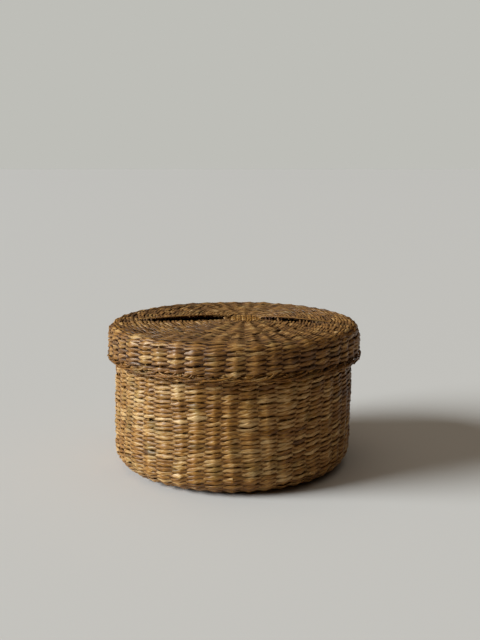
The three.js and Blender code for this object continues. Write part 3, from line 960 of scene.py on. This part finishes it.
class BASKET_OT_rim(PieceOperator):
    """Turn the stake ends down round the basket's rim and tuck them in."""

    bl_idname = "basket.plait_rim"
    bl_label = "Plait Rim"

    def make(self, scene):
        body, strands = scene.basket_body, scene.basket_strands
        weave, course = Weave(basket_place(body), 1, 0), wall_course(body)
        top = wall_top(body)
        rails = Rails()
        border_rows(rails, weave, [top + 0.35, top + 1.0], 21, course, STAKE_ENDS, 0.75, 0.15, 0.9)
        rng = np.random.default_rng(22)
        for stake in range(STAKE_ENDS):
            jitter = rng.normal(0, 0.08, 6)
            steps = smooth_path([
                (0.0, -0.2, 0.0), (0.15, 0.75, 0.1), (0.75, 1.28 + 0.3 * jitter[0], 0.9), (1.5, 1.2, 1.15),
                (2.2, 0.95 + jitter[1], 0.1), (2.9, 0.7, -1.0), (3.6 + jitter[2], 0.35, -1.1)], 4)
            tuck(rails, weave, steps, top + steps[:, 1], weave.angle(stake + steps[:, 0]), (1.0, 0.75),
                 rng.beta(2, 2), start=stake * 0.05)
        values = {**stitch_values(strands, course, strands.wall_swing), **RIM_STITCH}
        sweep(rails, "basket_rim_plait", "basket", ["basket_rim_border"], values,
              "straw_border")


def crossed_stakes(rails, weave, spacing, crossing, courses, paired, turn, seed, lift=None):
    """Adds both layers of stakes, each from one end across the crossing to its other end.

    Stakes that are twined in pairs lean together out to the paired course. lift takes a stake's end
    and its way, and changes that way.
    """
    rng = np.random.default_rng(seed)
    reach = (STAKES_EACH_WAY - 1) // 2
    quarter = STAKE_ENDS // 4
    lean, over_under = 0.2 * STEP, 0.45 * MM
    leaning = turn * hump(courses, 0, paired, 2)
    steps = np.arange(0.25, STAKES_EACH_WAY / 2, 0.5) * spacing
    for bundle, layer in ((1, 1), (0, -1)):
        heading = FRONT + bundle * quarter * STEP
        ahead = np.array([math.cos(heading), math.sin(heading), 0])
        beside = np.array([-math.sin(heading), math.cos(heading), 0])
        for offset in range(-reach, reach + 1):
            middle = crossing + beside * offset * spacing
            over = layer * (-1) ** ((offset + reach) // 2) * over_under
            halves = []
            for direction, end in ((1, bundle * quarter + offset), (-1, (bundle + 2) * quarter - offset)):
                angles = FRONT + end * STEP + lean * (1 if end % 2 == 0 else -1) * leaning
                here, out, _, _ = weave.frames(courses, angles)
                if lift is not None:
                    here = lift(end % STAKE_ENDS, here, out)
                inner = middle + ahead * direction * steps[:, None]
                crossed = (inner - crossing) @ np.abs(ahead) / spacing
                inner[:, 2] += over * np.cos(math.pi * (crossed + reach - 0.5) / 2)
                joint = np.array([0.6 * inner[-1] + 0.4 * here[0]])
                upright = np.repeat([[0, 0, np.sign(out[0, 2])]], len(inner) + 1, axis=0)
                halves.append((np.vstack([inner, joint, here]), np.vstack([upright, out])))
            near, far = halves
            place, normals = (np.vstack([near[i][::-1], far[i]]) for i in (0, 1))
            rails.add(place, normals, None, 0.0, 1 + 0.06 * rng.normal(), 1.0, rng.beta(2, 2.4),
                      start=offset * 0.03)


class BASKET_OT_stakes(PieceOperator):
    """Lay the basket's crossed stakes."""

    bl_idname = "basket.lay_stakes"
    bl_label = "Lay Basket Stakes"

    def make(self, scene):
        body, strands = scene.basket_body, scene.basket_strands
        top = wall_top(body)
        paired = body.base_courses * (body.paired_radius / (body.foot_radius - body.foot_rounding))
        courses = np.concatenate([np.linspace(0.6, body.base_courses, 10),
                                  np.linspace(body.base_courses, top, 40)[1:]])
        rails = Rails()
        crossed_stakes(rails, basket_weave(body), strands.stake_spacing, np.array([0, 0, body.base_middle]),
                       courses, paired, 1, 31)
        stake_piece(rails, "basket_stakes", "basket", strands)


class BASKET_OT_lid_top(PieceOperator):
    """Twine the lid's top, torn open on both sides of the crown."""

    bl_idname = "basket.twine_lid_top"
    bl_label = "Twine Lid Top"

    def make(self, scene):
        lid, strands = scene.basket_lid, scene.basket_strands
        weave, splits = lid_weave(lid), lid_splits(lid)
        course = lid.flat_radius * (1 - lid.start_share) / lid.top_courses
        ragged_by, ragged_turns, opens_behind = 0.7 * MM, 2900, 0.35

        def torn(place, rng):
            """Distance to the nearest broken edge, and whether that edge is behind the split."""
            reach = np.full(len(place), FAR)
            behind = np.zeros(len(place), bool)
            for split in splits:
                _, back = split.measure(place)
                half = split.half_width(place)
                out = np.linalg.norm(place[:, :2], axis=1)
                ragged = ragged_by * np.sin(out * ragged_turns + rng.uniform(0, 6))
                away = np.where(back > 0, back - opens_behind * half, -back - half - ragged)
                away = np.where(half > 0, away, FAR)
                behind = np.where(away < reach, back > 0, behind)
                reach = np.minimum(reach, away)
            return reach, behind

        paired = weave.switch / STAKE_ENDS
        calm = lid.top_courses - 3
        for name, waist, runs in (
                ("centre", strands.long_waist, ((0, paired, 41, 0.8),)),
                ("top", strands.waist, ((paired, calm, 42, 0.8), (calm, lid.top_courses, 45, 0.45)))):
            runs = [(first, last, seed, {"relief": relief, "cut": torn, "swing": strands.lid_swing})
                    for first, last, seed, relief in runs]
            twined_piece(f"lid_{name}_twining", "lid", "lid_top_weave", weave, course, strands.lid_swing,
                         "straw_top", runs, waist)


class BASKET_OT_lid_skirt(PieceOperator):
    """Twine the lid's shoulder and skirt."""

    bl_idname = "basket.twine_lid_skirt"
    bl_label = "Twine Lid Skirt"

    def make(self, scene):
        lid = scene.basket_lid
        turn = lid.top_courses + lid.shoulder_courses
        runs = [(lid.top_courses, turn, 43, {"bulk": 1.08, "relief": 0.35}),
                (turn, turn + lid.skirt_courses, 44, {})]
        twined_piece("lid_skirt_twining", "lid", "lid_skirt_weave", lid_weave(lid), skirt_course(lid),
                     scene.basket_strands.lid_swing, "straw_lid", runs)


class BASKET_OT_lid_edge(PieceOperator):
    """Work the fine border along the lid's lower edge, with its short tucked ends."""

    bl_idname = "basket.plait_lid_edge"
    bl_label = "Plait Lid Edge"

    def make(self, scene):
        lid, strands = scene.basket_lid, scene.basket_strands
        weave, course = Weave(lid_place(lid), -1, 0), skirt_course(lid)
        bottom = lid_bottom(lid)
        stitches, stray_ends, lowest = 74, 46, 1.5
        rows = [bottom + down for down in (0.05, 0.5, 0.95, 1.35)]
        rails = Rails()
        border_rows(rails, weave, rows, 51, course, stitches, 0.6, 0.1, 0.8)
        rng = np.random.default_rng(52)
        for stake in range(STAKE_ENDS):
            jitter = rng.normal(0, 1, 6)
            steps = smooth_path([
                (0.0, -0.3, -0.4), (0.3, 0.35 + 0.14 * jitter[0], 0.5), (1.0, 0.75 + 0.2 * jitter[1], 0.95),
                (1.7, 1.0 + 0.2 * jitter[2], 0.75), (2.4, 0.9 + 0.22 * jitter[3], 0.5), (2.9, 0.6, -0.6)], 4)
            tuck(rails, weave, steps, bottom + steps[:, 1], weave.angle(stake + steps[:, 0]), (0.9, 0.5),
                 0.6 * rng.beta(2, 2))
        for _ in range(stray_ends):
            theta = rng.uniform(0, 2 * math.pi)
            lean = rng.normal(0, 0.5)
            start = rng.uniform(-0.1, 1.1)
            reach = rng.uniform(0.2, 0.5)
            tip = 1.0 + rng.uniform(0, 0.5)
            steps = smooth_path([(0, 0, 0.3), (0.3 * lean, 0.4 * reach, 0.8), (lean, reach, tip)], 3)
            tuck(rails, weave, steps, bottom + np.minimum(start + steps[:, 1], lowest),
                 theta + steps[:, 0] * STEP, (0.55, 0.3), rng.beta(2, 2))
        values = {**stitch_values(strands, course, strands.lid_swing), **EDGE_STITCH}
        sweep(rails, "lid_edge_plait", "lid", ["lid_edge_border"], values, "straw_border")


class BASKET_OT_lid_stakes(PieceOperator):
    """Lay the lid's crossed stakes, two of them bared along the splits."""

    bl_idname = "basket.lay_lid_stakes"
    bl_label = "Lay Lid Stakes"

    def make(self, scene):
        lid, strands = scene.basket_lid, scene.basket_strands
        splits = lid_splits(lid)
        bottom = lid_bottom(lid)
        courses = np.concatenate([np.linspace(0.6, lid.top_courses, 26),
                                  np.linspace(lid.top_courses, bottom + 0.8, 22)[1:]])
        bared = {33: splits[0], 10: splits[1]}
        bared_from, bared_to, bared_lift = 0.1, 0.9, 1.5 * MM
        stays_behind, most_shift = 0.3 * MM, 5 * MM

        def lift(end, place, out):
            """A stake behind a split, laid bare: it stands up and leans over the opening."""
            if end not in bared:
                return place
            split = bared[end]
            outward, back = split.measure(place)
            bare = hump(outward, bared_from, bared_to, 0.6)
            place = place + out * (bared_lift * bare)[:, None]
            shift = bare * np.clip(back - stays_behind, 0, most_shift)
            place[:, :2] -= split.behind * shift[:, None]
            return place

        rails = Rails()
        crossing = np.array([lid.crown_x, lid.crown_y, lid.top_middle])
        crossed_stakes(rails, lid_weave(lid), strands.stake_spacing, crossing, courses,
                       lid_paired(lid), -1, 32, lift)
        stake_piece(rails, "lid_stakes", "lid", strands)


class BASKET_OT_stage(PieceOperator):
    """Set up the floor, the soft window light and the camera."""

    bl_idname = "basket.set_stage"
    bl_label = "Set Stage"

    def make(self, scene):
        studio = scene.basket_studio
        mesh = bpy.data.meshes.new("floor")
        corners = [(-1, -1), (1, -1), (1, 1), (-1, 1)]
        mesh.from_pydata([(FLOOR_HALF * x, FLOOR_HALF * y, 0) for x, y in corners], [], [(0, 1, 2, 3)])
        floor = bpy.data.objects.new("floor", mesh)
        scene.collection.objects.link(floor)
        material = bpy.data.materials.new("floor_plain")
        material.use_nodes = True
        shader = material.node_tree.nodes["Principled BSDF"]
        shader.inputs["Base Color"].default_value = (*studio.floor, 1)
        shader.inputs["Roughness"].default_value = 0.8
        mesh.materials.append(material)

        world = bpy.data.worlds.new("studio")
        world.use_nodes = True
        n = Nodes(world.node_tree)
        towards = n.add("ShaderNodeTexCoord", output="Generated")
        x, z = (n.add("ShaderNodeSeparateXYZ", {"Vector": towards}, axis) for axis in "XZ")
        across = n.add("ShaderNodeMapRange", {"Value": x, "From Min": -1.0, "From Max": 1.0})
        tint = n.mixed((*studio.fill_near, 1), (*studio.fill_far, 1), across)
        above = n.math("MAXIMUM", z, 0.0) ** studio.fill_focus
        both = n.mixed(tint, (*studio.fill_above, 1), above, "ADD")
        light = n.add("ShaderNodeBackground", {"Color": both, "Strength": 1.0})
        seen = n.add("ShaderNodeBackground", {"Color": (*studio.backdrop, 1), "Strength": 1.0})
        camera_ray = n.add("ShaderNodeLightPath", output="Is Camera Ray")
        pick = n.add("ShaderNodeMixShader", {0: camera_ray, 1: light, 2: seen})
        n.add("ShaderNodeOutputWorld", {"Surface": pick})
        scene.world = world

        lamp = bpy.data.lights.new("window", "SUN")
        lamp.energy = studio.window
        lamp.color = studio.daylight
        lamp.angle = studio.softness
        window = bpy.data.objects.new("window", lamp)
        window.location = WINDOW_AT
        window.rotation_euler = Vector(WINDOW_AT).to_track_quat("Z", "Y").to_euler()
        scene.collection.objects.link(window)

        view = bpy.data.cameras.new("camera")
        view.sensor_fit = "VERTICAL"
        view.sensor_height = CAMERA_SENSOR
        view.lens = CAMERA_LENS
        camera = bpy.data.objects.new("camera", view)
        camera.location = CAMERA_AT
        camera.rotation_euler = (math.pi / 2 - CAMERA_TILT, 0, CAMERA_TURN)
        scene.collection.objects.link(camera)
        scene.camera = camera
        scene.view_settings.view_transform = "Standard"


STEPS = (BASKET_OT_base, BASKET_OT_foot, BASKET_OT_wall, BASKET_OT_rim, BASKET_OT_stakes,
         BASKET_OT_lid_top, BASKET_OT_lid_skirt, BASKET_OT_lid_edge, BASKET_OT_lid_stakes, BASKET_OT_stage)
GROUPS = {"basket_body": BASKET_PG_body, "basket_lid": BASKET_PG_lid, "basket_strands": BASKET_PG_strands,
          "basket_straw": BASKET_PG_straw, "basket_studio": BASKET_PG_studio}


class BASKET_PT_panel(bpy.types.Panel):
    """Sizes, colours and steps of the basket."""

    bl_idname = "BASKET_PT_panel"
    bl_label = "Twined Basket"
    bl_space_type = "VIEW_3D"
    bl_region_type = "UI"
    bl_category = "Basket"

    def draw(self, context):
        for step in STEPS:
            self.layout.operator(step.bl_idname)
        for key, group in GROUPS.items():
            box = self.layout.box()
            for name in group.__annotations__:
                box.prop(getattr(context.scene, key), name)


def register():
    """Makes the sizes, steps and panel known to Blender."""
    for group in (*GROUPS.values(), *STEPS, BASKET_PT_panel):
        bpy.utils.register_class(group)
    for key, group in GROUPS.items():
        setattr(bpy.types.Scene, key, bpy.props.PointerProperty(type=group))


def unregister():
    """Takes away all that register added."""
    for key in GROUPS:
        delattr(bpy.types.Scene, key)
    for group in (BASKET_PT_panel, *reversed(STEPS), *reversed(list(GROUPS.values()))):
        bpy.utils.unregister_class(group)


def main():
    """Makes every piece in order."""
    register()
    for step in STEPS:
        area, name = step.bl_idname.split(".")
        getattr(getattr(bpy.ops, area), name)()


if __name__ == "__main__":
    main()
